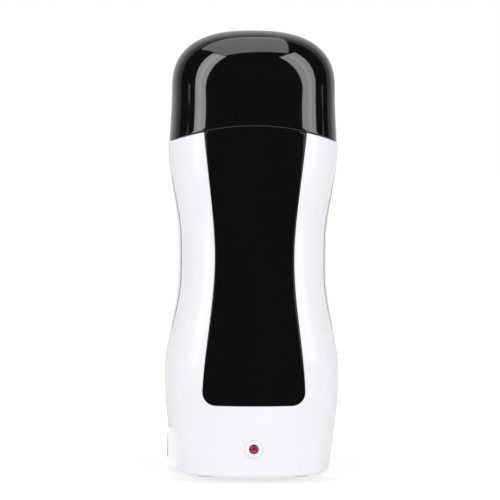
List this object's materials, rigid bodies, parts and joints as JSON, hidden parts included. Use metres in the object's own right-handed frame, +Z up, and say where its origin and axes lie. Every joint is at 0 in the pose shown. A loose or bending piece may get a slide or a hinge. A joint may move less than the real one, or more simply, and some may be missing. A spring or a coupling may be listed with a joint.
{
  "type": "roll-on wax warmer",
  "caption": "Hand-held warmer for roll-on wax cartridges: waisted oval body with a long front panel, domed lift-off cap over the roller, lamp low in front and a side power inlet.",
  "frame": {"origin": "middle of the footprint, on the table under the feet", "axes": "+Z up along the body, -Y out of the front with the lamp, +X to the right seen from the front"},
  "size_m": [0.0768, 0.056, 0.195],
  "materials": {
    "shell_white": "gloss",
    "panel_black": "gloss",
    "cap_smoked": "gloss",
    "socket_black": "satin",
    "lens_red": "gloss",
    "led_red": "gloss",
    "board_green": "satin",
    "resistor_tan": "satin",
    "diode_black": "satin",
    "screw_steel": "satin",
    "pin_plated": "polished",
    "collar_black": "satin",
    "cradle_ivory": "matte",
    "well_aluminium": "satin",
    "stone_grey": "matte",
    "electrode_brass": "satin",
    "film_amber": "gloss",
    "clamp_steel": "satin",
    "fuse_steel": "polished",
    "wire_brown": "satin",
    "wire_blue": "satin",
    "wire_white": "satin",
    "wire_red": "satin",
    "foot_rubber": "matte",
    "cartridge_clear": "gloss",
    "wax_honey": "satin",
    "head_white": "satin",
    "roller_aluminium": "satin"
  },
  "bodies": {
    "housing": {"front_shell": "shell_white", "rear_shell": "shell_white", "front_panel": "panel_black", "lamp_bezel": "shell_white", "lamp_lens": "lens_red", "lamp_led": "led_red", "lamp_board": "board_green", "board_resistor": "resistor_tan", "board_diode": "diode_black", "board_screws": "screw_steel", "inlet_block": "shell_white", "inlet_socket": "socket_black", "inlet_pins": "pin_plated", "mouth_collar": "collar_black", "collar_screws": "screw_steel", "cradle": "cradle_ivory", "heater_well": "well_aluminium", "heating_stones": "stone_grey", "front_electrode": "electrode_brass", "rear_electrode": "electrode_brass", "insulating_film": "film_amber", "heater_clamp": "clamp_steel", "clamp_screws": "screw_steel", "thermal_fuse": "fuse_steel", "live_wire": "wire_brown", "neutral_wire": "wire_blue", "fuse_wire": "wire_white", "lamp_wires": "wire_red", "case_screws": "screw_steel", "rubber_feet": "foot_rubber"},
    "cartridge": {"cartridge_body": "cartridge_clear", "wax_fill": "wax_honey", "roller_head": "head_white"},
    "roller": {"roller": "roller_aluminium"},
    "cap": {"cap": "cap_smoked"}
  },
  "joints": [
    {"name": "cartridge_lift", "type": "slide", "parent": "housing", "child": "cartridge", "axis": [0, 0, 1], "range_m": [0, 0.125]},
    {"name": "roller_spin", "type": "hinge", "parent": "cartridge", "child": "roller", "pos_m": [0, 0, 0.165], "axis": [1, 0, 0], "continuous": true},
    {"name": "cap_lift", "type": "slide", "parent": "cartridge", "child": "cap", "axis": [0, 0, 1], "range_m": [0, 0.08]}
  ]
}
